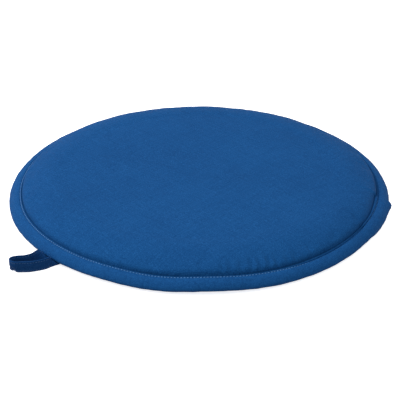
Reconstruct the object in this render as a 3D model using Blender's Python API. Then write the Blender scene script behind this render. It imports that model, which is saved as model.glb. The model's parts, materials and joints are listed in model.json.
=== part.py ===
"""Round padded chair cushion: a foam disc between two fabric covers, bound round its edge with a folded
tape, and with a hanging loop sewn under the rim.

Metres, +Z up. The origin is the middle of the underside, on the surface that the pad lies on, and the
hanging loop points along -Y. Run with blender --background --python part.py.
"""

import math

import bmesh
import bpy
from mathutils import Vector

# Overall shape
PAD_RADIUS = 0.170  # to the outer edge of the binding
CROWN_HEIGHT = 0.0138  # the domed top, above where it rises out of the binding
CROWN_SQUARENESS = 5.5  # how far out the dome stays flat
CROWN_SHOULDER = 2.7  # how full its shoulder is
UNDERSIDE_ROLL = 0.0105  # width of the underside's curved margin, round its flat middle
UNDERSIDE_RINGS = 3

# Binding: a tape folded round the edge
BINDING_WIDTH = 0.0112  # from the outer edge to the tape's inner edge, in plan
BINDING_THICKNESS = 0.0008
RIM_THICKNESS = 0.0056  # height of the rounded outer edge
UPPER_LEAF_RISE = 0.0030  # the upper leaf climbs this much towards the dome
LOWER_LEAF_DROP = 0.0003
LAP_START = math.radians(18.2)  # where the tape's finishing end covers its beginning
LAP_END = math.radians(36.5)
LAP_THICKNESS = 0.0006

# What lies inside the binding
COVER_THICKNESS = 0.0006
COVER_SETBACK = 0.0030  # cut edges of the covers, in from the outer edge
FOAM_SETBACK = 0.0045  # skived edge of the foam, in from the outer edge

# Lockstitch that holds the binding
STITCH_INSET = 0.0020  # stitch row, out from the tape's inner edge
THREAD_RADIUS = 0.0002

# Hanging loop
TAPE_WIDTH = 0.0102
TAPE_THICKNESS = 0.0010
LOOP_LENGTH = 0.0305  # from the fold line at its root to its tip
LOOP_ROOT_GAP = 0.0032  # between its two strands, where they leave the rim side by side
LOOP_OFFSET = 0.0011  # the pair's middle, towards +X
# Its middle line in plan, from one end of the tape to the other: sideways as a share of half the
# strands' spacing, and outward as a share of the loop's length. The tip leans towards -X.
LOOP_SHAPE = ((1.0, 0.0), (1.0, 0.16), (0.9, 0.33), (0.25, 0.65), (-0.7, 0.89), (-1.5, 1.0),
              (-2.1, 0.91), (-1.87, 0.66), (-1.0, 0.45), (-1.0, 0.16), (-1.0, 0.0))
TWIST_START = 0.0060  # the strands leave the rim flat, and stand on edge from here
TWIST_END = 0.0130
TAIL_SETBACK = 0.0006  # inner edge of the sewn ends, out from the binding's inner edge
FOLD_CLEARANCE = 0.0012  # the loop's fold line, out from the rim
FOLD_GAP = 0.0009  # between a sewn end and the loop that folds
LOOP_STITCH_INSET = 0.0016  # edge stitching, in from the tape's upper edge

GAP = 0.0003  # between neighbouring pieces, and under the loop and its stitching

SEGMENTS = 60
DOME_RINGS = 9
NOSE_STEPS = 6
THREAD_SIDES = 6
STATIONS_PER_SPAN = 4
SMOOTH_ANGLE = math.radians(35)
MITRE_LIMIT = 0.5  # keeps an offset line's sharpest corners from running far out
TOUCHING = 1e-7  # points closer than this are one point

# Places worked out from the sizes
binding_inner = PAD_RADIUS - BINDING_WIDTH
cover_edge = PAD_RADIUS - COVER_SETBACK
foam_edge = PAD_RADIUS - FOAM_SETBACK
stitch_radius = binding_inner + STITCH_INSET
thread_reach = GAP + THREAD_RADIUS
nose_radius = RIM_THICKNESS / 2
nose_centre = PAD_RADIUS - nose_radius
leaf_slope = math.atan2(UPPER_LEAF_RISE, nose_centre - binding_inner)
crown_edge = binding_inner - BINDING_THICKNESS * math.sin(leaf_slope) - GAP
strand_spacing = TAPE_WIDTH + LOOP_ROOT_GAP
loop_axis_y = -(PAD_RADIUS + FOLD_CLEARANCE)
# From the surface below up to the rim: bobbin thread, loop tail, then the binding's lower leaf
tail_middle = GAP + 2 * THREAD_RADIUS + GAP + TAPE_THICKNESS / 2
rim_bottom = tail_middle + TAPE_THICKNESS / 2 + GAP + LOWER_LEAF_DROP
rim_middle = rim_bottom + nose_radius


def clear_scene():
    for obj in list(bpy.data.objects):
        bpy.data.objects.remove(obj, do_unlink=True)


def fabric(name, colour, roughness):
    material = bpy.data.materials.new(name)
    material.use_nodes = True
    shader = material.node_tree.nodes["Principled BSDF"]
    shader.inputs["Base Color"].default_value = (*colour, 1.0)
    shader.inputs["Roughness"].default_value = roughness
    shader.inputs["Metallic"].default_value = 0.0
    return material


def offset_path(path, distance):
    """The path moved to its left by distance, with mitred corners. An end on the axis stays on it."""
    moved = []
    for i, point in enumerate(path):
        normals = []
        for a, b in ((i - 1, i), (i, i + 1)):
            if a >= 0 and b < len(path):
                along = (path[b] - path[a]).normalized()
                normals.append(Vector((-along.y, along.x)))
        normal = sum(normals, Vector((0.0, 0.0))).normalized()
        moved.append(point + normal * distance / max(normal.dot(normals[0]), MITRE_LIMIT))
        if point.x == 0.0:
            moved[-1].x = 0.0
    return moved


def height_on(path, radius):
    """Height of a path (radius, height) where it crosses a radius; its end spans are extended."""
    spans = list(zip(path, path[1:]))
    inside = [s for s in spans if min(s[0].x, s[1].x) <= radius <= max(s[0].x, s[1].x)]
    a, b = (inside or [min(spans, key=lambda s: abs(s[0].x - radius))])[0]
    return a.y + (b.y - a.y) * (radius - a.x) / (b.x - a.x)


def make_object(name, bm, material, parent=None, origin=Vector()):
    """Finishes a bmesh as a smooth-shaded object whose own origin is at the point given."""
    bmesh.ops.remove_doubles(bm, verts=bm.verts, dist=TOUCHING)
    bmesh.ops.recalc_face_normals(bm, faces=bm.faces)
    bmesh.ops.translate(bm, verts=bm.verts, vec=-origin)
    mesh = bpy.data.meshes.new(name)
    bm.to_mesh(mesh)
    bm.free()
    mesh.shade_smooth()
    mesh.set_sharp_from_angle(angle=SMOOTH_ANGLE)
    mesh.materials.append(material)
    obj = bpy.data.objects.new(name, mesh)
    obj.location = origin if parent is None else (0.0, 0.0, 0.0)
    obj.parent = parent
    bpy.context.scene.collection.objects.link(obj)
    return obj


def turned(section, closed):
    """A bmesh with the section (radius, height) spun once round Z. Open sections start and end on Z."""
    bm = bmesh.new()
    verts = [bm.verts.new((p.x, 0.0, p.y)) for p in section]
    pairs = list(zip(verts, verts[1:]))
    if closed:
        pairs.append((verts[-1], verts[0]))
    edges = [bm.edges.new(pair) for pair in pairs]
    bmesh.ops.spin(bm, geom=verts + edges, cent=(0, 0, 0), axis=(0, 0, 1), angle=math.tau,
                   steps=SEGMENTS, use_merge=True)
    return bm


def upper_leaf():
    """Outer surface of the binding's upper leaf, from its inner edge out to the top of the nose."""
    nose_top = Vector((nose_centre, rim_middle + nose_radius))
    return [Vector((binding_inner, nose_top.y + UPPER_LEAF_RISE)), nose_top]


def lower_leaf():
    """Outer surface of the binding's lower leaf, from the bottom of the nose in to its inner edge."""
    nose_bottom = Vector((nose_centre, rim_bottom))
    return [nose_bottom, Vector((binding_inner, rim_bottom - LOWER_LEAF_DROP))]


def binding_outline():
    upper = upper_leaf()
    lower = lower_leaf()
    nose = []
    for i in range(1, NOSE_STEPS):
        angle = math.pi * (0.5 - i / NOSE_STEPS)
        nose.append(Vector((nose_centre + nose_radius * math.cos(angle),
                            rim_middle + nose_radius * math.sin(angle))))
    return upper + nose + lower


def top_cover_outline():
    """Outer surface of the top cover, from the middle of the dome out under the upper leaf."""
    under_leaf = offset_path(upper_leaf(), -(BINDING_THICKNESS + GAP))
    base = height_on(under_leaf, crown_edge)
    outline = [Vector((0.0, base + CROWN_HEIGHT))]
    for i in range(1, DOME_RINGS + 1):
        angle = math.pi / 2 * i / DOME_RINGS
        outline.append(Vector((crown_edge * math.sin(angle) ** (2 / CROWN_SQUARENESS),
                               base + CROWN_HEIGHT * math.cos(angle) ** (2 / CROWN_SHOULDER))))
    outline.append(Vector((cover_edge, height_on(under_leaf, cover_edge))))
    return outline


def bottom_cover_outline():
    """Outer surface of the bottom cover, from above the lower leaf in to the middle of the underside."""
    over_leaf = offset_path(lower_leaf(), -(BINDING_THICKNESS + GAP))
    base = height_on(over_leaf, crown_edge)
    outline = [Vector((cover_edge, height_on(over_leaf, cover_edge))), Vector((crown_edge, base))]
    for i in range(1, UNDERSIDE_RINGS + 1):
        angle = math.pi / 2 * i / UNDERSIDE_RINGS
        outline.append(Vector((crown_edge - UNDERSIDE_ROLL * (1 - math.cos(angle)),
                               base * (1 - math.sin(angle)))))
    outline.append(Vector((0.0, 0.0)))
    return outline


def shell(outline, thickness):
    """Closed section of a fabric layer: its outer surface and the same line moved inwards."""
    inside = offset_path(outline, -thickness)[::-1]
    ends_on_axis = outline[-1].x == 0.0
    return inside + outline if ends_on_axis else outline + inside


def thread_section(radius, height):
    section = []
    for i in range(THREAD_SIDES):
        angle = math.tau * i / THREAD_SIDES
        section.append(Vector((radius + THREAD_RADIUS * math.cos(angle),
                               height + THREAD_RADIUS * math.sin(angle))))
    return section


def build_foam_core(material):
    top = offset_path(top_cover_outline(), -(COVER_THICKNESS + GAP))
    bottom = offset_path(bottom_cover_outline(), -(COVER_THICKNESS + GAP))
    top[-1] = Vector((foam_edge, height_on(top, foam_edge)))
    bottom[0] = Vector((foam_edge, height_on(bottom, foam_edge)))
    make_object("foam_core", turned(top + bottom, closed=False), material)


def build_covers(top_material, bottom_material):
    top = turned(shell(top_cover_outline(), COVER_THICKNESS), closed=False)
    make_object("top_cover", top, top_material)
    bottom = turned(shell(bottom_cover_outline(), COVER_THICKNESS), closed=False)
    make_object("bottom_cover", bottom, bottom_material)


def turn_angle(vert):
    return math.atan2(vert.co.y, vert.co.x)


def build_binding(material):
    """The tape's C section turned once round, and thicker on its outside where the two ends lap."""
    outline = binding_outline()
    lapped = offset_path(outline, LAP_THICKNESS)
    bm = turned(shell(outline, BINDING_THICKNESS), closed=True)
    for vert in bm.verts:
        here = Vector((math.hypot(vert.co.x, vert.co.y), vert.co.z))
        angle = turn_angle(vert)
        for before, after in zip(outline, lapped):
            on_line = (here - before).length < 10 * TOUCHING
            if on_line and before.y > rim_middle and LAP_START < angle < LAP_END:
                vert.co = (after.x * math.cos(angle), after.x * math.sin(angle), after.y)
    make_object("edge_binding", bm, material)


def build_threads(material):
    """Needle thread along the top of the binding, bobbin thread below it and below the loop's ends."""
    above_leaf = height_on(offset_path(upper_leaf(), thread_reach), stitch_radius)
    needle = turned(thread_section(stitch_radius, above_leaf), closed=True)
    for vert in needle.verts:
        if LAP_START < turn_angle(vert) < LAP_END:
            vert.co.z += LAP_THICKNESS
    make_object("needle_thread", needle, material)

    below_leaf = height_on(lower_leaf(), stitch_radius) - thread_reach
    below_tails = tail_middle - TAPE_THICKNESS / 2 - thread_reach
    step = stitch_radius * math.tau / SEGMENTS
    tails_reach = abs(LOOP_OFFSET) + strand_spacing / 2 + TAPE_WIDTH / 2 + step
    bobbin = turned(thread_section(stitch_radius, below_leaf), closed=True)
    for vert in bobbin.verts:
        if vert.co.y < 0 and abs(vert.co.x) < tails_reach:
            vert.co.z += below_tails - below_leaf
    make_object("bobbin_thread", bobbin, material)


def smooth_route(points):
    """Points along a smooth curve through the points given (Catmull-Rom)."""
    ends = [points[0] * 2 - points[1]] + points + [points[-1] * 2 - points[-2]]
    route = []
    for a, b, c, d in zip(ends, ends[1:], ends[2:], ends[3:]):
        for step in range(STATIONS_PER_SPAN):
            t = step / STATIONS_PER_SPAN
            route.append(0.5 * (2 * b + (c - a) * t + (2 * a - 5 * b + 4 * c - d) * t ** 2
                                + (3 * b - a - 3 * c + d) * t ** 3))
    return route + [points[-1]]


def loop_plan():
    """Middle line of the loop in plan: out along +X's strand, round the tip, back along the other."""
    half = strand_spacing / 2
    return smooth_route([Vector((LOOP_OFFSET + half * aside, loop_axis_y - LOOP_LENGTH * out))
                         for aside, out in LOOP_SHAPE])


def loop_stations():
    """Each station's middle, its direction across the tape's width, and the way the tape's face looks."""
    plan = loop_plan()
    stations = []
    for i, point in enumerate(plan):
        ahead = (plan[min(i + 1, len(plan) - 1)] - plan[max(i - 1, 0)]).normalized()
        out = loop_axis_y - point.y
        share = min(max((out - TWIST_START) / (TWIST_END - TWIST_START), 0.0), 1.0)
        share = share * share * (3 - 2 * share)
        roll = share * math.pi / 2
        across = Vector((-ahead.y, ahead.x, 0.0)) * math.cos(roll) + Vector((0, 0, math.sin(roll)))
        face = Vector((ahead.x, ahead.y, 0.0)).cross(across)
        lowest = GAP + (tail_middle - TAPE_THICKNESS / 2 - GAP) * (1 - share)
        height = lowest + TAPE_WIDTH / 2 * math.sin(roll) + TAPE_THICKNESS / 2 * math.cos(roll)
        stations.append((Vector((point.x, point.y, height)), across, face))
    return stations


def swept(stations, near, far, low, high):
    """A bmesh bar swept along the stations; near to far across the tape, low to high off its face."""
    corners = ((near, low), (far, low), (far, high), (near, high))
    bm = bmesh.new()
    ring = []
    for middle, across, out in stations:
        places = [middle + across * a + out * b for a, b in corners]
        if not ring:
            verts = [bm.verts.new(place) for place in places]
            ring = [bm.edges.new(pair) for pair in zip(verts, verts[1:] + verts[:1])]
            first = ring
        else:
            grown = bmesh.ops.extrude_edge_only(bm, edges=ring)["geom"]
            ring = [item for item in grown if isinstance(item, bmesh.types.BMEdge)]
            for vert in {vert for edge in ring for vert in edge.verts}:
                corner = min(range(len(last)), key=lambda i: (last[i] - vert.co).length)
                vert.co = places[corner]
        last = places
    bmesh.ops.contextual_create(bm, geom=first)
    bmesh.ops.contextual_create(bm, geom=ring)
    return bm


def build_loop(tape_material, thread_material):
    """The loop and its edge stitching turn about the fold line at its root, where their parent sits."""
    fold_line = Vector((LOOP_OFFSET, loop_axis_y, tail_middle))
    hinge = bpy.data.objects.new("loop_hinge", None)
    hinge.location = fold_line
    bpy.context.scene.collection.objects.link(hinge)
    stations = loop_stations()
    half_width = TAPE_WIDTH / 2
    half_thickness = TAPE_THICKNESS / 2
    tape = swept(stations, -half_width, half_width, -half_thickness, half_thickness)
    make_object("hanging_loop", tape, tape_material, hinge, fold_line)
    line = half_width - LOOP_STITCH_INSET
    face = -(half_thickness + GAP)
    standing = [s for s in stations if loop_axis_y - s[0].y > TWIST_END]
    thread = swept(standing, line - THREAD_RADIUS, line + THREAD_RADIUS, face - 2 * THREAD_RADIUS,
                   face)
    make_object("loop_stitching", thread, thread_material, hinge, fold_line)


def build_tails(material):
    """The tape's two ends, sewn flat under the rim."""
    inner = -(binding_inner + TAIL_SETBACK)
    outer = loop_axis_y + FOLD_GAP
    for name, side in (("loop_tail_right", 1), ("loop_tail_left", -1)):
        bm = bmesh.new()
        bmesh.ops.create_cube(bm, size=1.0)
        bmesh.ops.scale(bm, verts=bm.verts, vec=(TAPE_WIDTH, inner - outer, TAPE_THICKNESS))
        middle = Vector((LOOP_OFFSET + side * strand_spacing / 2, (inner + outer) / 2, tail_middle))
        bmesh.ops.translate(bm, verts=bm.verts, vec=middle)
        make_object(name, bm, material, origin=middle)


def main():
    clear_scene()
    cover_blue = fabric("cover_fabric", (0.012, 0.082, 0.258), 0.85)
    under_blue = fabric("underside_fabric", (0.011, 0.075, 0.235), 0.9)
    binding_blue = fabric("binding_tape", (0.010, 0.085, 0.270), 0.8)
    loop_blue = fabric("loop_tape", (0.008, 0.050, 0.165), 0.8)
    thread_blue = fabric("sewing_thread", (0.020, 0.110, 0.320), 0.6)
    foam_white = fabric("foam", (0.80, 0.78, 0.70), 0.95)
    build_foam_core(foam_white)
    build_covers(cover_blue, under_blue)
    build_binding(binding_blue)
    build_threads(thread_blue)
    build_tails(loop_blue)
    build_loop(loop_blue, thread_blue)


main()
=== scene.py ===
import json
import math

import bmesh
import bpy
import numpy as np
from mathutils import Matrix, Vector, noise


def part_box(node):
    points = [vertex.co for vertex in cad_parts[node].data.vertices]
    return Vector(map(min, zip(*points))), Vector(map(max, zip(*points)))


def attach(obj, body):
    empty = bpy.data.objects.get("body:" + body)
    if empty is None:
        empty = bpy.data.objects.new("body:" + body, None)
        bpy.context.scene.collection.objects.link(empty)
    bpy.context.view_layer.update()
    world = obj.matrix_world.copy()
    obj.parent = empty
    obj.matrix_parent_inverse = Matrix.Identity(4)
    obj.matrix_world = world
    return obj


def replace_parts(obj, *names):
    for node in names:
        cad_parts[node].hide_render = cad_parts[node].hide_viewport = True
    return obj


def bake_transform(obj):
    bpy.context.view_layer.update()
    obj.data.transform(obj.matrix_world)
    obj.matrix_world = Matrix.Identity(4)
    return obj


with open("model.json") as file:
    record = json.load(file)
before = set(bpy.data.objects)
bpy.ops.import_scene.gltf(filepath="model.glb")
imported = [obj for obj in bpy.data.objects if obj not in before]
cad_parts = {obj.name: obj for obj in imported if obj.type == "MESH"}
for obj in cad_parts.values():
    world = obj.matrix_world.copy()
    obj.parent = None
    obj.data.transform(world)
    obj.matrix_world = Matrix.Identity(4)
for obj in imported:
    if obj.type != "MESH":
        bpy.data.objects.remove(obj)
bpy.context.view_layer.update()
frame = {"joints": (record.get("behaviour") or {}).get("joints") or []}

# Places and sizes that come from the frame
rimLow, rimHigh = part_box("edge_binding")
rimBottom = rimLow.z
padRadius = rimHigh.x
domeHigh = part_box("top_cover")[1].z
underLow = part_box("bottom_cover")[0].z
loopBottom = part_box("hanging_loop")[0].z
foldPoint = Vector(frame["joints"][0]["pos_m"])

mm = 0.001


def signed(angle):
    # The same angle, from -180 to 180 degrees
    return (angle + 180) % 360 - 180


def bump(angle, middle, width):
    # Smooth bump of height 1 at an angle round the pad, all in degrees
    return math.exp(-(signed(angle - middle) / width) ** 2)


def smooth(value, low, high):
    share = min(max((value - low) / (high - low), 0.0), 1.0)
    return share * share * (3 - 2 * share)


def between(x, points):
    # Straight interpolation through (x, y) points
    xs, ys = zip(*points)
    return float(np.interp(x, xs, ys))


def place(angle, radius, height):
    turn = math.radians(angle)
    return Vector((radius * math.cos(turn), radius * math.sin(turn), height))


def angleOf(vert):
    return math.degrees(math.atan2(vert.co.y, vert.co.x))


def putInOrder(bm):
    # The same order of edges and faces on each run, so that the cloth settles in the same way
    bm.verts.index_update()
    count = len(bm.verts)

    def rank(part):
        corners = sorted(vert.index for vert in part.verts)
        return (corners[0] * count + corners[1]) * count + corners[-1]

    bm.edges.sort(key=rank)
    bm.faces.sort(key=rank)


def finishMesh(name, bm, material, body, merge=1e-7):
    # Closes a bmesh into a smooth object that sits at the origin and rides on its body
    bmesh.ops.remove_doubles(bm, verts=bm.verts, dist=merge)
    bmesh.ops.recalc_face_normals(bm, faces=bm.faces)
    putInOrder(bm)
    mesh = bpy.data.meshes.new(name)
    bm.to_mesh(mesh)
    bm.free()
    mesh.shade_smooth()
    mesh.materials.append(material)
    piece = bpy.data.objects.new(name, mesh)
    bpy.context.scene.collection.objects.link(piece)
    if body:
        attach(piece, body)
    return piece


def thicken(piece, thickness):
    solid = piece.modifiers.new("cloth thickness", "SOLIDIFY")
    solid.thickness = thickness
    solid.offset = -1


class Wire:
    # A shader value that can be added, multiplied and so on

    def __init__(self, recipe, socket):
        self.recipe = recipe
        self.socket = socket

    def maths(self, operation, other=None, flipped=False):
        terms = [self] if other is None else [other, self] if flipped else [self, other]
        return self.recipe.add("ShaderNodeMath", {"operation": operation}, dict(enumerate(terms)))

    def __add__(self, other):
        return self.maths("ADD", other)

    def __radd__(self, other):
        return self.maths("ADD", other)

    def __sub__(self, other):
        return self.maths("SUBTRACT", other)

    def __rsub__(self, other):
        return self.maths("SUBTRACT", other, True)

    def __mul__(self, other):
        return self.maths("MULTIPLY", other)

    def __rmul__(self, other):
        return self.maths("MULTIPLY", other)

    def __abs__(self):
        return self.maths("ABSOLUTE")

    def sine(self):
        return self.maths("SINE")


class Recipe:
    # The nodes of a material or of the room's light. Every node but the first comes from add()

    def __init__(self, owner, shaderName, finish):
        owner.use_nodes = True
        self.owner = owner
        self.tree = owner.node_tree
        self.shader = self.tree.nodes[shaderName]
        for socket, value in finish.items():
            self.shader.inputs[socket].default_value = value

    def add(self, kind, settings=None, inputs=None, output=0):
        node = self.tree.nodes.new(kind)
        for setting, value in (settings or {}).items():
            if setting == "stops":  # of a colour ramp: (position, colour)
                ramp = node.color_ramp.elements
                while len(ramp) < len(value):
                    ramp.new(0.5)
                for element, (position, colour) in zip(ramp, value):
                    element.position = position
                    element.color = (*colour, 1)
            elif setting == "curve":  # of a float curve: its two ends first, then the points between
                points = node.mapping.curves[0].points
                points[0].location, points[1].location = value[:2]
                for x, y in value[2:]:
                    points.new(x, y)
                node.mapping.update()
            else:
                setattr(node, setting, value)
        for socket, value in (inputs or {}).items():
            if isinstance(value, Wire):
                self.tree.links.new(value.socket, node.inputs[socket])
            else:
                node.inputs[socket].default_value = value
        return Wire(self, node.outputs[output])

    def feed(self, socket, wire):
        self.tree.links.new(wire.socket, self.shader.inputs[socket])

    def mix(self, share, first, second):
        settings = {"data_type": "RGBA"}
        return self.add("ShaderNodeMix", settings, {0: share, 6: first, 7: second}, output=2)

    def objectPlace(self):
        return self.add("ShaderNodeTexCoord", output=3)

    def surfacePlace(self, name):
        return self.add("ShaderNodeUVMap", {"uv_map": name})

    def split(self, vector):
        node = self.add("ShaderNodeSeparateXYZ", inputs={0: vector}).socket.node
        return [Wire(self, node.outputs[i]) for i in range(3)]

    def noise(self, vector, scale, detail=2.0, roughness=0.5, stretch=(1, 1, 1)):
        stretched = self.add("ShaderNodeVectorMath", {"operation": "MULTIPLY"},
                             {0: vector, 1: stretch})
        return self.add("ShaderNodeTexNoise", None, {"Vector": stretched, "Scale": scale,
                                                     "Detail": detail, "Roughness": roughness})

    def bumps(self, strength, height):
        raised = {"Strength": strength, "Distance": 1.0, "Height": height}
        self.feed("Normal", self.add("ShaderNodeBump", None, raised))


def newFinish(name, finish):
    return Recipe(bpy.data.materials.new(name), "Principled BSDF", finish)


coverLook = {
    "base": (0.0070, 0.0665, 0.2150),
    "light": (0.0140, 0.0990, 0.2930),
    "dark": (0.0035, 0.0415, 0.1490),
    "roughness": 0.82,
    "roughnessSpread": 0.15,
    "sheen": 0.02,
    "sheenRoughness": 0.45,
    "gloss": 0.08,
    "glossTint": (0.25, 0.55, 1.0),
    "pitch": 0.55 * mm,  # of the weave
    "threadContrast": 0.22,
    "threadHeight": 0.00010,
    "warpStretch": (60, 1400, 60),  # thick places in the threads, long one way
    "weftStretch": (1400, 60, 60),
    "slub": 0.5,
    "slubHeight": 0.00005,
    "cloudScale": 18.0,  # broad unevenness of the dye
    "cloud": 0.35,
    "speckScale": 1450.0,
    "speck": 1.5,
    "fleckScale": 760.0,  # lighter flecks painted into the colour: slubs, with a painted glint where they catch the light
    "fleckFrom": 0.58,
    "fleckTo": 0.74,
    "fleck": 0.20,
    "darker": 0.03,  # evens out what the flecks add
    "bumpStrength": 0.6,
    "deep": (0.0008, 0.0160, 0.0640),  # painted shade: the darker colour that stands in for the shadow down in the seam
    # painted seam shade: how strongly it darkens the colour, and the heights between which it comes
    # in
    "seamShade": 0.40,
    "seamFrom": rimBottom + 9.6 * mm,
    "seamTo": rimBottom + 8.8 * mm,
}
underLook = {**coverLook, "seamShade": 0.0, "base": (0.0098, 0.0650, 0.2050)}
tapeLook = {
    **coverLook,
    "map": "tape",  # the weave follows the tape
    # painted shade in the stitch groove and beside the dome follows the tape's groove map
    "paintedShadeMap": "groove",
    "bias": True,  # the threads cross the tape at 45 degrees
    "pitch": 0.5 * mm,
    "base": (0.0080, 0.0690, 0.2240),
    "light": (0.0165, 0.1080, 0.3120),
    "dark": (0.0037, 0.0420, 0.1500),
    "warpStretch": (400, 400, 60),
    "weftStretch": (900, 250, 60),
    "cloudScale": 60.0,
    "cloud": 0.30,
}
# painted shade: the loop takes a darker copy of the tape's colours, for the lesser top light on its
# strands, which stand on edge
loopPaintedShadeLook = {**tapeLook, "base": (0.0062, 0.0450, 0.1600), "light": (0.0140, 0.0700, 0.2200),
            "dark": (0.0035, 0.0300, 0.1150)}


def wovenCloth(name, look):
    # Fine plain weave. The pattern follows Object coordinates, or the piece's own UV map.
    cloth = newFinish(name, {"Roughness": look["roughness"], "Sheen Weight": look["sheen"],
                             "Sheen Roughness": look["sheenRoughness"],
                             "Sheen Tint": (*look["light"], 1), "Specular IOR Level": look["gloss"],
                             "Specular Tint": (*look["glossTint"], 1)})
    spot = cloth.surfacePlace(look["map"]) if look.get("map") else cloth.objectPlace()
    x, y, z = cloth.split(spot)
    if look.get("bias"):
        across, along = (x + y) * math.sqrt(0.5), (x - y) * math.sqrt(0.5)
    else:
        across, along = x, y
    perThread = math.pi / look["pitch"]
    crossing = (across * perThread).sine() * (along * perThread).sine()
    warpSlub = cloth.noise(spot, 1.0, stretch=look["warpStretch"])
    weftSlub = cloth.noise(spot, 1.0, stretch=look["weftStretch"])
    cloud = cloth.noise(spot, look["cloudScale"], detail=3.0, roughness=0.6)
    speck = cloth.noise(spot, look["speckScale"], detail=1.0)
    # the flecks lighten the colour: slubs with painted glints
    flecks = cloth.noise(spot, look["fleckScale"], detail=0.0)
    flecks = cloth.add("ShaderNodeMapRange", None, {0: flecks, 1: look["fleckFrom"],
                                                    2: look["fleckTo"], 3: 0.0, 4: 1.0})
    shade = crossing * look["threadContrast"] + 0.5
    shade = shade + (warpSlub - 0.5) * look["slub"] + (weftSlub - 0.5) * look["slub"]
    shade = shade + (cloud - 0.5) * look["cloud"] + (speck - 0.5) * look["speck"]
    shade = shade + flecks * look["fleck"] - look["darker"]
    stops = ((0.0, look["dark"]), (0.5, look["base"]), (1.0, look["light"]))
    colour = cloth.add("ShaderNodeValToRGB", {"stops": stops}, {0: shade})
    # painted shade in the seam: the colour goes towards 'deep' low down beside the seam, or where
    # the piece's shade map asks
    if look.get("paintedShadeMap"):
        paintedShade = cloth.split(cloth.surfacePlace(look["paintedShadeMap"]))[0]
    else:
        paintedShade = cloth.add("ShaderNodeMapRange", {"interpolation_type": "SMOOTHSTEP"},
                           {0: z, 1: look["seamFrom"], 2: look["seamTo"], 3: 0.0, 4: 1.0})
    colour = cloth.mix(paintedShade * look["seamShade"], colour, (*look["deep"], 1))
    cloth.feed("Base Color", colour)
    cloth.feed("Roughness", look["roughness"] + (cloud - 0.5) * look["roughnessSpread"])
    height = abs(crossing) * look["threadHeight"] + (warpSlub + weftSlub) * look["slubHeight"]
    cloth.bumps(look["bumpStrength"], height)
    return cloth.owner


threadLook = {"dark": (0.045, 0.180, 0.430), "light": (0.090, 0.280, 0.560), "roughness": 0.5,
              "sheen": 0.15, "gloss": 0.4, "twistScale": 2500.0, "twistHeight": 0.0001,
              "bumpStrength": 0.5}
loopThreadLook = {**threadLook, "dark": (0.012, 0.070, 0.220), "light": (0.030, 0.120, 0.320)}


def sewingThread(name, look):
    thread = newFinish(name, {"Roughness": look["roughness"], "Sheen Weight": look["sheen"],
                              "Specular IOR Level": look["gloss"]})
    twist = thread.noise(thread.objectPlace(), look["twistScale"])
    thread.feed("Base Color", thread.mix(twist, (*look["dark"], 1), (*look["light"], 1)))
    thread.bumps(look["bumpStrength"], twist * look["twistHeight"])
    return thread.owner


foamLook = {"cellWall": (0.62, 0.58, 0.46), "cell": (0.84, 0.81, 0.72), "cellScale": 900.0,
            "cellHeight": 0.0004, "bumpStrength": 0.6, "roughness": 0.95, "gloss": 0.1}


def openFoam(name, look):
    sponge = newFinish(name, {"Roughness": look["roughness"], "Specular IOR Level": look["gloss"]})
    cells = sponge.add("ShaderNodeTexVoronoi", None, {"Vector": sponge.objectPlace(),
                                                      "Scale": look["cellScale"]})
    sponge.feed("Base Color", sponge.mix(cells, (*look["cellWall"], 1), (*look["cell"], 1)))
    sponge.bumps(look["bumpStrength"], cells * look["cellHeight"])
    return sponge.owner


coverCloth = wovenCloth("coverCloth", coverLook)
underCloth = wovenCloth("underCloth", underLook)
bindingCloth = wovenCloth("bindingCloth", tapeLook)
loopPaintedShadeCloth = wovenCloth("loopPaintedShadeCloth", loopPaintedShadeLook)
threadMaterial = sewingThread("sewingThread", threadLook)
loopThread = sewingThread("loopThread", loopThreadLook)
foamMaterial = openFoam("openFoam", foamLook)
print("materials made")

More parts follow.
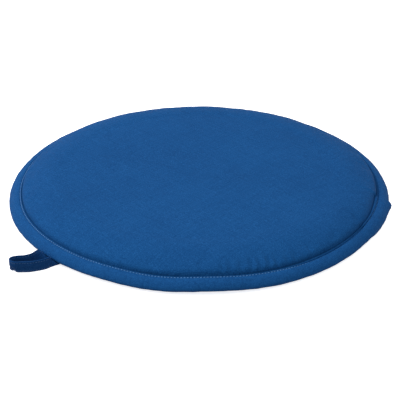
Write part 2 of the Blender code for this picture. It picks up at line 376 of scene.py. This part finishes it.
binding = {
    "width": 11.2 * mm,
    "lapStart": 18.2,  # degrees; the finishing end lies over the beginning from here
    "lapEnd": 36.5,
    "lapSettle": 4,  # degrees before the lap's end where its step inwards is complete
    "lapRise": 3.5,  # degrees over which the finishing end climbs onto the beginning
    "lapThickness": 0.75 * mm,
    "lapInward": 1.6 * mm,  # how far the finishing end's fold sits in over the cover
    "ear": 1.7 * mm,  # the corner of the finishing end that sticks out of the rim
    "earAngle": 35.6,
    "earWidths": (2.6, 0.9),  # degrees, before and past its tip
    "stitchLength": 2.6 * mm,
    "columnsPerStitch": 3,
    # (degrees, how far out, how far down, width in degrees)
    "wander": ((13, -1.3, 0.0, 11), (-19, 0.3, 0.8, 13), (-41, 0.0, -1.0, 8),
               (-56, 0.0, 0.7, 8), (-70, -0.2, -0.4, 8), (150, 0.6, 0.0, 20),
               (205, -0.4, 0.0, 15), (250, 0.4, 0.2, 12)),
    "rippleOut": 0.35,  # mm
    "rippleUp": 0.25,
    # Section of the folded tape: (out from its inner fold, height above the rim's underside), in
    # mm, from the upper fold round the rim to the lower fold, then back along the inside
    "outside": ((1.5, 7.15), (0.6, 7.3), (0.12, 7.75), (0.12, 8.25), (0.45, 8.55), (1.0, 8.5),
                (1.55, 8.15), (2.0, 7.75), (2.4, 8.0), (3.0, 8.3), (4.0, 8.2), (5.4, 7.7),
                (6.9, 7.0), (8.3, 6.05), (9.6, 4.85), (10.6, 3.6), (11.15, 2.4), (11.05, 1.35),
                (10.3, 0.5), (8.9, 0.05), (6.2, -0.1), (3.2, -0.15), (2.4, -0.05), (2.0, 0.25),
                (1.5, -0.05), (0.8, -0.3), (0.2, 0.0), (0.4, 0.5)),
    "inside": ((1.6, 0.65), (4.0, 0.6), (8.4, 0.85), (9.9, 1.7), (9.8, 3.0), (8.0, 5.3),
               (5.4, 6.8), (3.0, 7.2)),
    "upperPoints": 12,  # how many points of the outside lie on the upper face, round the row
    "rowAt": 2.0,  # mm; the stitch row's place in the section
    "rowBlend": 3.5,  # mm; beyond the row, the section keeps its own spacing from here
    "puff": 0.14,  # mm; how far the tape stands up between two stitches
    "puffWidth": 0.7,
    "drag": 0.22,  # mm; soft creases that lean away from the row
    "groove": 0.15,  # mm; depth of the row's groove, and what it gains where the row is sunk
    "grooveSunk": 0.95,
    "grooveWidth": 0.40,
    "followUp": 0.9,  # share of the rim's wander that the tape and its stitches take up
}
bindingInner = padRadius - binding["width"]


def onLap(angle):
    return binding["lapStart"] < signed(angle) < binding["lapEnd"]


def lapShift(angle):
    # How far the tape's inner fold and the dome beside it step inwards along the lap
    if not onLap(angle):
        return 0.0
    settled = binding["lapEnd"] - binding["lapSettle"]
    return binding["lapInward"] * smooth(signed(angle), binding["lapStart"], settled)


def rimWander(angle):
    # Small unevenness of the sewn edge: how far out and how far up it lies
    out = sum(far * bump(angle, middle, width) for middle, far, down, width in binding["wander"])
    down = sum(down * bump(angle, middle, width) for middle, far, down, width in binding["wander"])
    ripple = noise.noise(place(angle, 6, 3))
    return (out + binding["rippleOut"] * ripple) * mm, (-down + binding["rippleUp"] * ripple) * mm


stitch = {
    "radius": 0.36 * mm,
    "share": 0.64,  # of the stitch length that shows as thread
    "uneven": 0.10,
    "sides": 8,
    "rings": 6,
    "inset": 1.15 * mm,  # from the tape's inner fold
    "wobble": 0.25 * mm,
    # Where the row lies further in or out: (degrees, width in degrees, how far)
    "strays": ((-5, 20, 0.75 * mm), (65, 25, -0.35 * mm)),
    "lapFollow": 0.9,
    "sunkFrom": -14,  # degrees between which the row pulls in deeper
    "sunkTo": 75,
    "sunkBlend": 8,
    "sunk": 0.95 * mm,
    "unevenDepth": 0.16 * mm,
    "upperHeight": 7.95 * mm,  # of the two rows, above the rim's underside
    "lowerHeight": 0.05 * mm,
    "slope": 0.34,  # how far each stitch leans outwards
    "wanderOut": 0.65,
}


def stitchInset(angle):
    # Distance of the stitch row from the tape's inner fold
    angle = signed(angle)
    inset = stitch["inset"] + stitch["wobble"] * noise.noise(place(angle, 4, 9))
    inset += sum(far * bump(angle, middle, width) for middle, width, far in stitch["strays"])
    return inset + lapShift(angle) * stitch["lapFollow"]


def sunkAt(angle):
    # 1 where the row is pulled deep into its groove, on the right-hand side of the pad
    angle, blend = signed(angle), stitch["sunkBlend"]
    starts = smooth(angle, stitch["sunkFrom"] - blend, stitch["sunkFrom"] + blend)
    return starts * (1 - smooth(angle, stitch["sunkTo"] - blend, stitch["sunkTo"] + blend))


cover = {
    "base": 10.5 * mm,
    "edgeGap": 0.5 * mm,  # between the dome's edge and the tape's inner fold
    "squareness": 5.5,
    "shoulder": 2.7,
    "columns": 640,
    "domeRings": 36,
    "ringSpread": 0.22,  # share of the rings that is spaced evenly; the rest crowds at the middle
    "ringPower": 1.6,
    "clothThickness": 0.6 * mm,
    "under": 5.0 * mm,  # how far the cover runs on below the tape
    "underDrop": ((0.1, 0.3 * mm), (0.5, 1.0 * mm), (1.0, 1.9 * mm)),
    "swells": ((14, 0.5 * mm, 0.0), (45, 0.12 * mm, 0.2)),  # (scale, height, layer of the noise)
    "nearSeam": 30 * mm,  # within this, the dome follows the sewn edge
    "followOut": 0.6,
    "followUp": 0.8,
    "slackFrom": 22 * mm,  # the cloth is slack between these distances from the seam
    "slackTo": 6 * mm,
    "slackAll": 0.25,
    "slackAt": ((-38, 16, 1.0), (-70, 20, 0.7), (-8, 14, 0.25)),  # (degrees, width, share)
    "heldSeam": (1.2 * mm, 0.4 * mm),
    "heldMiddle": (105 * mm, 125 * mm),
    "fullness": -0.045,
    "steps": 20,
    "cap": 1.5 * mm,
}
clothFeel = {
    "quality": 6,
    "mass": 0.15,
    "tension_stiffness": 25,
    "compression_stiffness": 25,
    "shear_stiffness": 15,
    "bending_stiffness": 0.02,
    "vertex_group_mass": "held",
    "vertex_group_shrink": "slack",
    "shrink_min": 0.0,
    "shrink_max": cover["fullness"],
    "use_pressure": True,
    "uniform_pressure_force": 2.0,
}
pucker = {
    "from": -46.0,  # degrees between which the short creases run in from the seam
    "to": -4.0,
    "pitch": 2.9,
    "pitchSpread": 0.45,
    "strongest": ((-25, 9, 1.15), (-12, 8, 0.55), (-38, 6, 0.4)),  # (degrees, width, share)
    "depth": 1.35 * mm,
    "depthLeast": 0.8,
    "depthSpread": 0.5,
    "length": 11.0 * mm,
    "lengthSpread": 9.0 * mm,
    "fullUntil": 0.3,  # share of its length where a crease begins to run out
    "seamRamp": (-0.2 * mm, 1.2 * mm),
    "lean": 10.0,  # degrees
    "halfWidth": 1.5 * mm,
    "ridge": 0.35,  # cloth that stands up beside a crease: share of its depth, place and width
    "ridgeAt": 2.1,
    "ridgeWidth": 0.9,
    "reach": 4,  # degrees beyond which a crease isn't felt
    "band": 16 * mm,
}
domeEdge = bindingInner - cover["edgeGap"]


def domeProfile():
    # Points (radius, height) from the middle of the dome out and down into the seam
    points = [(0.0, domeHigh)]
    even = cover["ringSpread"]
    rise = domeHigh - cover["base"]
    for i in range(1, cover["domeRings"] + 1):
        share = i / cover["domeRings"]
        angle = math.pi / 2 * (even * share + (1 - even) * share ** cover["ringPower"])
        points.append((domeEdge * math.sin(angle) ** (2 / cover["squareness"]),
                       cover["base"] + rise * math.cos(angle) ** (2 / cover["shoulder"])))
    return points


def spun(profile, columns):
    bm = bmesh.new()
    verts = [bm.verts.new((radius, 0, height)) for radius, height in profile]
    edges = [bm.edges.new(pair) for pair in zip(verts, verts[1:])]
    bmesh.ops.spin(bm, geom=verts + edges, cent=(0, 0, 0), axis=(0, 0, 1), angle=math.tau,
                   steps=columns, use_merge=True)
    bmesh.ops.remove_doubles(bm, verts=bm.verts, dist=1e-7)
    return bm


def fullnessAt(angle, radius):
    # How slack the cloth is: most beside the seam on the front right, a little all round
    beside = smooth(radius, domeEdge - cover["slackFrom"], domeEdge - cover["slackTo"])
    front = sum(much * bump(angle, middle, width) for middle, width, much in cover["slackAt"])
    return beside * min(1.0, cover["slackAll"] + (1 - cover["slackAll"]) * front)


def makeCover():
    # The upper cloth: the dome, tightened over the foam by a cloth simulation with its seam held
    under = [(domeEdge + share * cover["under"], cover["base"] - drop)
             for share, drop in cover["underDrop"]]
    bm = spun(domeProfile() + under, cover["columns"])
    for vert in bm.verts:
        radius = math.hypot(vert.co.x, vert.co.y)
        angle = angleOf(vert)
        near = smooth(radius, domeEdge - cover["nearSeam"], domeEdge)
        swell = sum(noise.noise(Vector((vert.co.x, vert.co.y, layer)) * scale) * height
                    for scale, height, layer in cover["swells"])
        out, up = rimWander(angle)
        shrunk = radius - near * lapShift(angle) + near * out * cover["followOut"]
        vert.co = place(angle, shrunk,
                        vert.co.z + swell * (1 - near) + up * near * cover["followUp"])
    piece = finishMesh("topCover", bm, coverCloth, "pad")
    settleCloth(piece)
    addPuckers(piece)
    thicken(piece, cover["clothThickness"])
    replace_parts(piece, "top_cover")


def makePuckers():
    # The creases: (degrees, length, depth, lean in degrees)
    creases = []
    angle = pucker["from"]
    while angle < pucker["to"]:
        chance = noise.noise(Vector((angle * 1.31, 7.0, 0.5)))
        strength = min(1.0, sum(share * bump(angle, middle, width)
                                for middle, width, share in pucker["strongest"]))
        depth = pucker["depth"] * strength * (pucker["depthLeast"] + pucker["depthSpread"] * chance)
        length = pucker["length"] + pucker["lengthSpread"] * chance
        creases.append((angle, length, depth, pucker["lean"] * chance))
        spread = pucker["pitchSpread"] * noise.noise(Vector((angle, 2.2, 8.1)))
        angle += pucker["pitch"] * (1 + spread)
    return creases


def addPuckers(piece):
    creases = makePuckers()
    outward = [vert.normal.copy() for vert in piece.data.vertices]
    for vert in piece.data.vertices:
        inward = domeEdge - vert.co.xy.length
        if inward > pucker["band"] or inward < pucker["seamRamp"][0]:
            continue
        angle = angleOf(vert)
        dip = 0.0
        for middle, length, depth, lean in creases:
            if abs(angle - middle) > pucker["reach"]:
                continue
            away = math.radians(angle - middle) * vert.co.xy.length - math.radians(lean) * inward
            side = away / pucker["halfWidth"]
            along = smooth(inward, *pucker["seamRamp"])
            along *= 1 - smooth(inward, length * pucker["fullUntil"], length)
            ridge = math.exp(-((abs(side) - pucker["ridgeAt"]) / pucker["ridgeWidth"]) ** 2)
            dip += depth * along * (math.exp(-side ** 2) - pucker["ridge"] * ridge)
        vert.co -= outward[vert.index] * dip


def settleCloth(piece):
    # Runs the cloth with its seam and its middle held, then limits how far each point moved
    before = np.array([v.co for v in piece.data.vertices])
    held = piece.vertex_groups.new(name="held")
    slack = piece.vertex_groups.new(name="slack")
    outer, inner = cover["heldSeam"]
    for vert in piece.data.vertices:
        radius = vert.co.xy.length
        seam = smooth(radius, domeEdge - outer, domeEdge - inner)
        middle = 1 - smooth(radius, *cover["heldMiddle"])
        held.add([vert.index], max(seam, middle), "REPLACE")
        slack.add([vert.index], fullnessAt(angleOf(vert), radius), "REPLACE")
    cloth = piece.modifiers.new("cloth", "CLOTH")
    for setting, value in clothFeel.items():
        setattr(cloth.settings, setting, value)
    cloth.settings.effector_weights.gravity = 0
    cloth.collision_settings.use_collision = False
    cloth.point_cache.frame_start = 1
    cloth.point_cache.frame_end = cover["steps"]
    scene = bpy.context.scene
    for step in range(1, cover["steps"] + 1):
        scene.frame_set(step)
    shape = piece.evaluated_get(bpy.context.evaluated_depsgraph_get())
    after = np.array([v.co for v in shape.data.vertices])
    piece.modifiers.remove(cloth)
    scene.frame_set(1)
    moved = after - before
    length = np.linalg.norm(moved, axis=1, keepdims=True)
    print("cloth moved at most", round(float(length.max()) / mm, 2), "mm")
    moved *= np.minimum(1.0, cover["cap"] / np.maximum(length, 1e-9))
    piece.data.vertices.foreach_set("co", (before + moved).astype(np.float32).ravel())
    piece.data.update()


makeCover()
print("cover made")

foam = {
    "inset": 2.9 * mm,
    "edge": 4.5 * mm,
    "columns": 120,
    # The thinned edge that the binding holds: (in from the edge, height above the rim's underside)
    "rim": ((3.0 * mm, 5.0 * mm), (0.0, 3.6 * mm), (0.0, 2.3 * mm)),
    "chamfer": 10 * mm,
}


def makeFoam():
    dome = [(radius * (domeEdge - foam["inset"]) / domeEdge, height - foam["inset"])
            for radius, height in domeProfile()[::2]]
    edge = padRadius - foam["edge"]
    rim = [(edge - inward, rimBottom + height) for inward, height in foam["rim"]]
    base = [(domeEdge - foam["inset"], rim[-1][1]), (domeEdge - foam["chamfer"], foam["inset"]),
            (0.0, foam["inset"])]
    bm = spun(dome + rim + base, foam["columns"])
    piece = finishMesh("foamDisc", bm, foamMaterial, "pad")
    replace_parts(piece, "foam_core")


underside = {
    "roll": 10.5 * mm,
    "columns": 320,
    "rings": 10,
    "flatRings": 8,
    "meet": 0.8 * mm,  # heights above the rim's underside, where it goes in under the tape
    "edge": 1.5 * mm,
    "gather": 0.5 * mm,
    "gatherScale": 20,
    "gatherDip": -0.4,
    # Where the gathers are full, in from the edge: they start, are full, begin to stop
    "gatherBand": (1 * mm, 4 * mm, 1 * mm),
}


def makeUnderside():
    # The lower cloth: flat where it lies, and gathered a little where it turns up to the seam
    meet = rimBottom + underside["meet"]
    profile = [(domeEdge + cover["under"], rimBottom + underside["edge"]),
               (domeEdge + 0.3 * mm, meet)]
    for i in range(1, underside["rings"] + 1):
        angle = math.pi / 2 * i / underside["rings"]
        profile.append((domeEdge - underside["roll"] * (1 - math.cos(angle)),
                        underLow + (meet - underLow) * (1 - math.sin(angle))))
    flat = domeEdge - underside["roll"]
    rings = underside["flatRings"]
    profile += [(flat * (1 - i / rings), underLow) for i in range(1, rings + 1)]
    bm = spun(profile, underside["columns"])
    starts, full, stops = underside["gatherBand"]
    for vert in bm.verts:
        radius = vert.co.xy.length
        roll = smooth(radius, flat + starts, domeEdge - full)
        roll *= 1 - smooth(radius, domeEdge - stops, domeEdge)
        gather = noise.noise(place(angleOf(vert), 1, 2) * underside["gatherScale"])
        vert.co.z += max(gather, underside["gatherDip"]) * roll * underside["gather"]
    piece = finishMesh("underCover", bm, underCloth, "pad")
    thicken(piece, cover["clothThickness"])
    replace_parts(piece, "bottom_cover")


makeFoam()
makeUnderside()
print("foam and underside made")


def sectionNormals(section):
    # Outward direction at each point of a closed section
    points = [Vector(p) for p in section]
    normals = []
    for i in range(len(points)):
        along = (points[(i + 1) % len(points)] - points[i - 1]).normalized()
        normals.append(Vector((-along.y, along.x)))
    return normals


def lengthsRound(section):
    # How far each point lies from the first, along the section
    lengths = [0.0]
    for a, b in zip(section, section[1:]):
        lengths.append(lengths[-1] + math.dist(a, b))
    return lengths


def pointIndexes(section):
    return {(round(y, 3), round(z, 3)): i for i, (y, z) in enumerate(section)}


def sweptStraight(section, length, columns):
    # The closed section (y, z) drawn out along X, with both ends closed
    bm = bmesh.new()
    verts = [bm.verts.new((0, y, z)) for y, z in section]
    edges = [bm.edges.new(pair) for pair in zip(verts, verts[1:] + verts[:1])]
    grown = bmesh.ops.extrude_edge_only(bm, edges=edges)["geom"]
    farVerts = [item for item in grown if isinstance(item, bmesh.types.BMVert)]
    farEdges = [item for item in grown if isinstance(item, bmesh.types.BMEdge)]
    bmesh.ops.translate(bm, verts=farVerts, vec=(length, 0, 0))
    lengthwise = [edge for edge in bm.edges if edge not in edges and edge not in farEdges]
    bmesh.ops.subdivide_edges(bm, edges=lengthwise, cuts=columns - 1)
    near = length / columns / 4
    for end in (0, length):
        ends = [edge for edge in bm.edges if all(abs(vert.co.x - end) < near for vert in edge.verts)]
        bmesh.ops.contextual_create(bm, geom=ends)
    bm.verts.index_update()
    return bm


def layMap(bm, name, places):
    # Gives each corner the unrolled place of its vertex, in metres, as a UV map
    layer = bm.loops.layers.uv.new(name)
    for face in bm.faces:
        for loop in face.loops:
            loop[layer].uv = places[loop.vert.index]


def makeBinding():
    section = binding["outside"] + binding["inside"]
    normals = sectionNormals(section)
    indexOf = pointIndexes(section)
    around = lengthsRound(section)
    turnDegrees = 360 + binding["lapEnd"] - binding["lapStart"]
    rowRadius = bindingInner + 1.3 * mm
    stitches = round(math.radians(turnDegrees) * rowRadius / binding["stitchLength"])
    bm = sweptStraight(section, turnDegrees, stitches * binding["columnsPerStitch"])
    places = {}
    paintedGrooveShade = {vert.index: (0, 0) for vert in bm.verts}  # painted shade: up to 1 in the stitch row's groove, 0.5 on the fold's inner side beside the dome
    width, rowAt, blend = binding["width"] / mm, binding["rowAt"], binding["rowBlend"]
    for vert in bm.verts:
        swept, y, z = vert.co
        index = indexOf[(round(y, 3), round(z, 3))]
        angle = binding["lapStart"] + swept
        places[vert.index] = (math.radians(swept) * padRadius, around[index] * mm)
        # The row's groove follows the stitches; the tape between two stitches puffs up a little
        inset = stitchInset(angle) / mm
        y = between(y, ((0, 0), (rowAt, inset), (rowAt + blend, rowAt + blend), (width, width)))
        phase = (swept / turnDegrees * stitches) % 1.0
        puff = (1 - math.cos(phase * math.tau)) / 2
        nearRow = math.exp(-((y - inset) / binding["puffWidth"]) ** 2)
        drag = noise.noise(Vector((math.radians(angle) * 26 + y * 0.16, y * 0.12, 1.5)))
        lift = binding["puff"] * puff * nearRow
        lift += binding["drag"] * drag * smooth(y, inset + 0.3, inset + 3)
        if index < binding["upperPoints"]:
            deep = math.exp(-((y - inset) / binding["grooveWidth"]) ** 2)
            lift -= (binding["groove"] + binding["grooveSunk"] * sunkAt(angle)) * deep
            paintedGrooveShade[vert.index] = (deep * (0.45 + 0.55 * sunkAt(angle)), 0)
        elif y < 0.5:
            paintedGrooveShade[vert.index] = (0.5, 0)
        over = smooth(swept, 360 - binding["lapRise"], 360)
        lift += binding["lapThickness"] / mm * over
        point = Vector((y, z)) + normals[index] * lift
        past = angle - 360 - binding["earAngle"]
        ear = over * math.exp(-(past / binding["earWidths"][past > 0]) ** 2)
        ear *= smooth(point.x, 8.5, 11)
        out, up = rimWander(angle)
        inward = lapShift(angle) * (1 - smooth(point.x, 1.0, 7.0))
        radius = bindingInner + point.x * mm - inward + out * (0.6 + 0.4 * smooth(point.x, 0, 11))
        radius += binding["ear"] * ear
        vert.co = place(angle, radius, rimBottom + point.y * mm + up * binding["followUp"])
    layMap(bm, "tape", places)
    layMap(bm, "groove", paintedGrooveShade)
    piece = finishMesh("edgeTape", bm, bindingCloth, "pad", merge=1e-8)
    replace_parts(piece, "edge_binding")
    return stitches, turnDegrees


stitchCount, turnDegrees = makeBinding()
print("binding made")


def sewn(name, places, material, body=None):
    # One short length of thread at each place: (middle, along, up, length, radius)
    single = bmesh.new()
    bmesh.ops.create_uvsphere(single, u_segments=stitch["sides"], v_segments=stitch["rings"],
                              radius=1)
    oneStitch = bpy.data.meshes.new("oneStitch")
    bm = bmesh.new()
    for middle, along, up, length, radius in places:
        side = along.cross(up).normalized()
        size = Matrix((along * length / 2, side * radius, side.cross(along) * radius)).transposed()
        single.to_mesh(oneStitch)
        oneStitch.transform(Matrix.Translation(middle) @ size.to_4x4())
        bm.from_mesh(oneStitch)
    single.free()
    bpy.data.meshes.remove(oneStitch)
    return finishMesh(name, bm, material, body, merge=1e-9)


def makeRow(name, node, heightAt, upward):
    # The row of stitches round the pad, on one face of the binding
    places = []
    degrees = turnDegrees / stitchCount
    for i in range(round(360 / degrees)):
        angle = binding["lapStart"] + turnDegrees - 360 + (i + 0.5) * degrees
        out, up = rimWander(angle)
        radius = bindingInner + stitchInset(angle) - lapShift(angle) + out * stitch["wanderOut"]
        uneven = noise.noise(Vector((i * 1.7, 3.1, upward)))
        sunk = stitch["sunk"] * sunkAt(angle) + stitch["unevenDepth"] * max(uneven, -0.3)
        height = heightAt(angle) + up * binding["followUp"] - upward * sunk
        length = math.radians(degrees) * radius * (stitch["share"] + stitch["uneven"] * uneven)
        slope = (place(angle, stitch["slope"], 0) + Vector((0, 0, upward))).normalized()
        places.append((place(angle, radius, height), place(angle + 90, 1, 0), slope, length,
                       stitch["radius"]))
    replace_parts(sewn(name, places, threadMaterial, "pad"), node)


def upperHeight(angle):
    lapped = binding["lapThickness"] if onLap(angle) else 0
    return rimBottom + stitch["upperHeight"] + lapped


def lowerHeight(angle):
    return rimBottom + stitch["lowerHeight"]


makeRow("needleStitches", "needle_thread", upperHeight, 1)
makeRow("bobbinStitches", "bobbin_thread", lowerHeight, -1)
print("stitches made")

loopTape = {
    "width": 10.2 * mm,
    "thickness": 1.3 * mm,
    "columns": 220,
    # Middle line in plan, from the sewn end of the near strand round the tip to the other sewn
    # end: (sideways, outward from the fold line), in mm, and how far the tape stands on edge
    "route": ((5.9, -12.5, 0.0), (5.9, -5.0, 0.0), (5.9, -2.0, 0.08), (6.6, 0.4, 0.36),
              (7.6, 2.4, 0.76), (8.2, 4.6, 1.0), (8.2, 7.5, 1.0), (7.4, 11.0, 1.0),
              (5.6, 15.5, 1.0), (2.4, 21.0, 1.0), (-1.6, 25.5, 1.0), (-5.0, 29.2, 1.0),
              (-9.2, 30.6, 1.0), (-12.4, 29.0, 1.0), (-12.9, 25.8, 1.0), (-10.8, 21.5, 1.0),
              (-7.6, 17.0, 1.0), (-6.0, 11.0, 0.98), (-5.8, 5.0, 0.72), (-5.7, 0.0, 0.30),
              (-5.6, -6.0, 0.0), (-5.6, -12.5, 0.0)),
    "routeSteps": 24,
    # Half of the section of the folded and stitched tape: (across, off its face), in shares
    "section": ((-1.0, 0.0), (-0.97, 0.55), (-0.88, 0.9), (-0.76, 0.82), (-0.68, 0.55),
                (-0.6, 0.8), (-0.45, 0.95), (-0.1, 1.0), (0.3, 1.0), (0.5, 0.95), (0.62, 0.8),
                (0.69, 0.55), (0.76, 0.82), (0.88, 0.9), (0.97, 0.55), (1.0, 0.0)),
    "crease": 0.25 * mm,
    "tuckAt": 0.50,  # share of the tape's length where its lower edge is folded in at the tip
    "tuckWidth": 0.030,
    "tuck": 2.4 * mm,
    "bendStart": 3.0 * mm,  # the tape bends between these distances in and out from the fold
    "bendEnd": 13.0 * mm,
    "stitchFromEdge": 1.6 * mm,
    "stitchPitch": 2.2 * mm,
    "stitchLength": 1.7 * mm,
    "stitchRadius": 0.20 * mm,
    "stitchHeight": 0.33,  # share of the tape's thickness, off its middle
}


def smoothRoute(points, columns):
    # Catmull-Rom through the points, at even steps of its own length
    ends = [points[0] * 2 - points[1]] + points + [points[-1] * 2 - points[-2]]
    fine = []
    for a, b, c, d in zip(ends, ends[1:], ends[2:], ends[3:]):
        for i in range(loopTape["routeSteps"]):
            t = i / loopTape["routeSteps"]
            fine.append(0.5 * (2 * b + (c - a) * t + (2 * a - 5 * b + 4 * c - d) * t ** 2
                               + (3 * b - a - 3 * c + d) * t ** 3))
    fine.append(points[-1])
    lengths = np.cumsum([0.0] + [(b.xy - a.xy).length for a, b in zip(fine, fine[1:])])
    tracks = [[p[k] for p in fine] for k in range(3)]
    route = [Vector([float(np.interp(s, lengths, track)) for track in tracks])
             for s in np.linspace(0, lengths[-1], columns + 1)]
    return route, float(lengths[-1])


def loopFrames():
    # At each step along the tape: its middle, the way along, across its width, and off its face
    points = [Vector((x * mm, y * mm, stand)) for x, y, stand in loopTape["route"]]
    route, length = smoothRoute(points, loopTape["columns"])
    halfWidth, halfThick = loopTape["width"] / 2, loopTape["thickness"] / 2
    frames = []
    for i, point in enumerate(route):
        before, after = route[max(i - 1, 0)], route[min(i + 1, len(route) - 1)]
        along = Vector((after.x - before.x, before.y - after.y, 0)).normalized()
        stand = min(max(point.z, 0.0), 1.0)
        roll = stand * math.pi / 2
        share = i / loopTape["columns"]
        lean = 1 if share < 0.5 else -1  # both strands' upper edges lean the same way, to -X
        flat = along.cross(Vector((0, 0, lean)))
        across = flat * math.cos(roll) + Vector((0, 0, math.sin(roll)))
        lowest = loopBottom + (foldPoint.z - halfThick - loopBottom) * (1 - stand)
        height = lowest + halfWidth * math.sin(roll) + halfThick * math.cos(roll)
        middle = Vector((point.x, foldPoint.y - point.y, height))
        frames.append((middle, along, across, along.cross(across), share))
    return frames, length


def makeLoop(frames, length):
    halfWidth, halfThick = loopTape["width"] / 2, loopTape["thickness"] / 2
    half = list(loopTape["section"])
    section = half + [(across, -thick) for across, thick in half[-2:0:-1]]
    around = lengthsRound([(y * halfWidth, z * halfThick) for y, z in section])
    indexOf = pointIndexes(section)
    bm = sweptStraight(section, loopTape["columns"], loopTape["columns"])
    places = {}
    for vert in bm.verts:
        step, y, z = round(vert.co.x), vert.co.y, vert.co.z
        middle, along, across, face, share = frames[step]
        places[vert.index] = (share * length, around[indexOf[(round(y, 3), round(z, 3))]])
        crease = noise.noise(Vector((share * 16, y * 1.3, 4))) * loopTape["crease"]
        crease *= smooth(min(share, 1 - share), 0.1, 0.25)
        tuck = math.exp(-((share - loopTape["tuckAt"]) / loopTape["tuckWidth"]) ** 2)
        tuck *= smooth(-y, -0.1, 0.9) * loopTape["tuck"]
        vert.co = middle + across * (y * halfWidth) + face * (z * halfThick + crease + tuck)
    layMap(bm, "tape", places)
    # the loop's groove map is empty: no painted shade on it
    layMap(bm, "groove", {vert.index: (0, 0) for vert in bm.verts})
    piece = finishMesh("loopTape", bm, loopPaintedShadeCloth, None, merge=1e-8)
    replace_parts(piece, "hanging_loop", "loop_tail_right", "loop_tail_left")
    bendLoop(piece)


def bendLoop(piece):
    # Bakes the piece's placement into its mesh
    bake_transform(piece)


def makeLoopStitches(frames, length):
    places = []
    count = round(length / loopTape["stitchPitch"])
    for edge in (-1, 1):
        line = edge * (loopTape["width"] / 2 - loopTape["stitchFromEdge"])
        for facing in (-1, 1):
            off = facing * loopTape["thickness"] * loopTape["stitchHeight"]
            for i in range(count):
                step = round((i + 0.5) / count * loopTape["columns"])
                middle, along, across, face, share = frames[step]
                places.append((middle + across * line + face * off, along, face,
                               loopTape["stitchLength"], loopTape["stitchRadius"]))
    piece = sewn("loopStitches", places, loopThread)
    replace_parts(piece, "loop_stitching")
    bendLoop(piece)


frames, loopLength = loopFrames()
makeLoop(frames, loopLength)
makeLoopStitches(frames, loopLength)
print("loop made")

stage = {
    "floor": (0.93, 0.93, 0.94),
    "floorGlow": 0.75,
    "floorSize": 6,
    "floorDrop": 0.2 * mm,
    "below": 0.34,  # brightness of the room all round
    "horizon": 0.42,
    "above": 1.12,
    "key": {"place": (-0.85, -0.75, 1.0), "power": 13.0, "size": 0.9},
    "fill": {"place": (-0.5, 0.6, 1.4), "power": 2.0, "size": 1.2},
}


def makeFloor():
    bm = bmesh.new()
    bmesh.ops.create_grid(bm, x_segments=1, y_segments=1, size=stage["floorSize"])
    bmesh.ops.translate(bm, verts=bm.verts, vec=(0, 0, -stage["floorDrop"]))
    paper = newFinish("palePaper", {"Roughness": 0.9, "Specular IOR Level": 0.1,
                                    "Base Color": (*stage["floor"], 1),
                                    "Emission Color": (1, 1, 1, 1),
                                    "Emission Strength": stage["floorGlow"]})
    floor = finishMesh("floor", bm, paper.owner, None)
    floor.visible_diffuse = False  # the light from below comes from the room instead


def makeLamp(name):
    light = bpy.data.lights.new(name, "AREA")
    light.energy = stage[name]["power"]
    light.size = stage[name]["size"]
    lamp = bpy.data.objects.new(name, light)
    lamp.location = stage[name]["place"]
    lamp.rotation_euler = (-Vector(lamp.location)).to_track_quat("-Z", "Y").to_euler()
    bpy.context.scene.collection.objects.link(lamp)


def makeLight():
    # A curve holds no value above 1, so the brightnesses go in halved and are doubled after it
    world = bpy.data.worlds.new("studio")
    room = Recipe(world, "Background", {"Color": (1, 1, 1, 1)})
    height = room.split(room.add("ShaderNodeTexCoord"))[2]
    share = room.add("ShaderNodeMapRange", None, {"Value": height, "From Min": -1})
    curve = ((0.0, stage["below"] / 2), (1.0, stage["above"] / 2), (0.5, stage["horizon"] / 2))
    half = room.add("ShaderNodeFloatCurve", {"curve": curve}, {"Value": share})
    room.feed("Strength", half * 2)
    bpy.context.scene.world = world
    makeLamp("key")
    makeLamp("fill")


view = {
    "azimuth": 46.2,
    "elevation": 28.23,
    "distance": 1.100,
    "lens": 109.5,
    "sensor": 36,
    "aimRight": 0.0008,
    "aimDown": 0.0082,
}


def makeCamera():
    turn, rise = math.radians(view["azimuth"]), math.radians(view["elevation"])
    back = Vector((math.sin(turn) * math.cos(rise), -math.cos(turn) * math.cos(rise),
                   math.sin(rise)))
    right = Vector((math.cos(turn), math.sin(turn), 0))
    up = back.cross(right)
    seen = Vector((0, 0, rimBottom))
    data = bpy.data.cameras.new("camera")
    data.lens = view["lens"]
    data.sensor_width = view["sensor"]
    data.clip_start = 0.01
    camera = bpy.data.objects.new("camera", data)
    camera.location = seen + back * view["distance"]
    aim = seen + right * view["aimRight"] - up * view["aimDown"]
    camera.rotation_euler = (aim - camera.location).to_track_quat("-Z", "Y").to_euler()
    bpy.context.scene.collection.objects.link(camera)
    bpy.context.scene.camera = camera


makeFloor()
makeLight()
makeCamera()
bpy.context.scene.view_settings.view_transform = "Standard"
print("room made")
